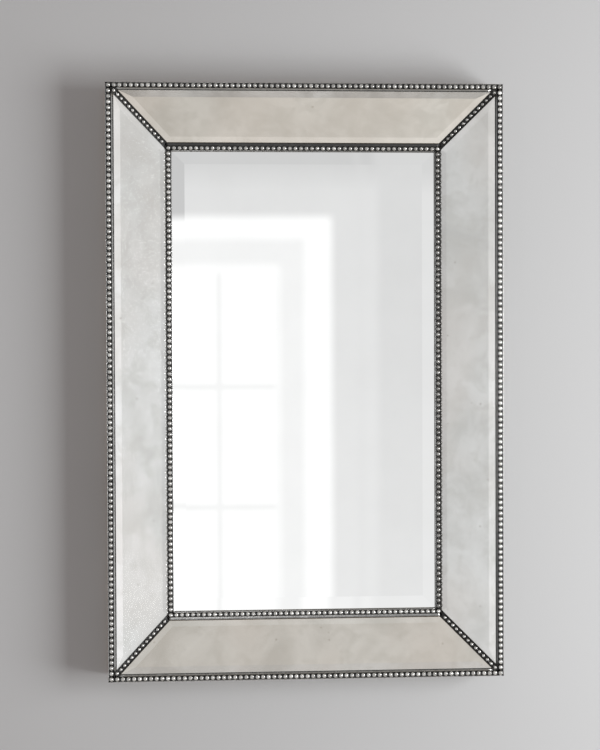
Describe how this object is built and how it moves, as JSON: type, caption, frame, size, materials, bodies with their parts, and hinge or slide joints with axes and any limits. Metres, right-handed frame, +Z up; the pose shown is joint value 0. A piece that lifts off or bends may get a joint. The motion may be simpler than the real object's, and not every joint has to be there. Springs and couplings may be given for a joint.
{
  "type": "wall mirror",
  "caption": "Rectangular wall mirror: bevelled centre glass set back inside sloping antiqued mirror panels, with beaded silver trims along the edges and mitres.",
  "frame": {"origin": "on the wall plane, behind the centre of the mirror", "axes": "+X to the right seen from the front, +Y back towards the wall, so the front faces -Y, +Z up"},
  "size_m": [0.6096, 0.0656, 0.9144],
  "materials": {
    "frame_board": "bare fibreboard",
    "antiqued_glass": "mirror with faint foxing",
    "mirror_glass": "polished, bevelled edge",
    "mastic": "matt",
    "foam": "matt",
    "silvered_trim": "antique silver leaf with dark recesses",
    "backing_board": "bare hardboard, matt",
    "black_screw": "black phosphated",
    "hanger_steel": "zinc plated",
    "bumper_rubber": "matt"
  },
  "bodies": {
    "mirror_body": {"side_wall_top": "frame_board", "slope_board_top": "frame_board", "inner_frame_top": "frame_board", "side_glass_top": "antiqued_glass", "side_glass_mastic_top": "mastic", "outer_trim_top": "silvered_trim", "inner_trim_top": "silvered_trim", "side_wall_bottom": "frame_board", "slope_board_bottom": "frame_board", "inner_frame_bottom": "frame_board", "side_glass_bottom": "antiqued_glass", "side_glass_mastic_bottom": "mastic", "outer_trim_bottom": "silvered_trim", "inner_trim_bottom": "silvered_trim", "side_wall_left": "frame_board", "slope_board_left": "frame_board", "inner_frame_left": "frame_board", "side_glass_left": "antiqued_glass", "side_glass_mastic_left": "mastic", "outer_trim_left": "silvered_trim", "inner_trim_left": "silvered_trim", "side_wall_right": "frame_board", "slope_board_right": "frame_board", "inner_frame_right": "frame_board", "side_glass_right": "antiqued_glass", "side_glass_mastic_right": "mastic", "outer_trim_right": "silvered_trim", "inner_trim_right": "silvered_trim", "mitre_trim_top_left": "silvered_trim", "mitre_trim_top_right": "silvered_trim", "mitre_trim_bottom_left": "silvered_trim", "mitre_trim_bottom_right": "silvered_trim", "corner_blocks": "frame_board", "centre_mirror": "mirror_glass", "mirror_cushion": "foam", "backing_board": "backing_board", "backing_screws": "black_screw", "hanger_plate_left": "hanger_steel", "hanger_plate_right": "hanger_steel", "hanger_screws": "hanger_steel", "wall_bumpers": "bumper_rubber"},
    "ring_left": {"hanger_ring_left": "hanger_steel"},
    "ring_right": {"hanger_ring_right": "hanger_steel"}
  },
  "joints": [
    {"name": "ring_left_hinge", "type": "hinge", "parent": "mirror_body", "child": "ring_left", "pos_m": [-0.2328, -0.00315, 0.25], "axis": [1, 0, 0], "range_deg": [0, 180]},
    {"name": "ring_right_hinge", "type": "hinge", "parent": "mirror_body", "child": "ring_right", "pos_m": [0.2328, -0.00315, 0.25], "axis": [1, 0, 0], "range_deg": [0, 180]}
  ]
}
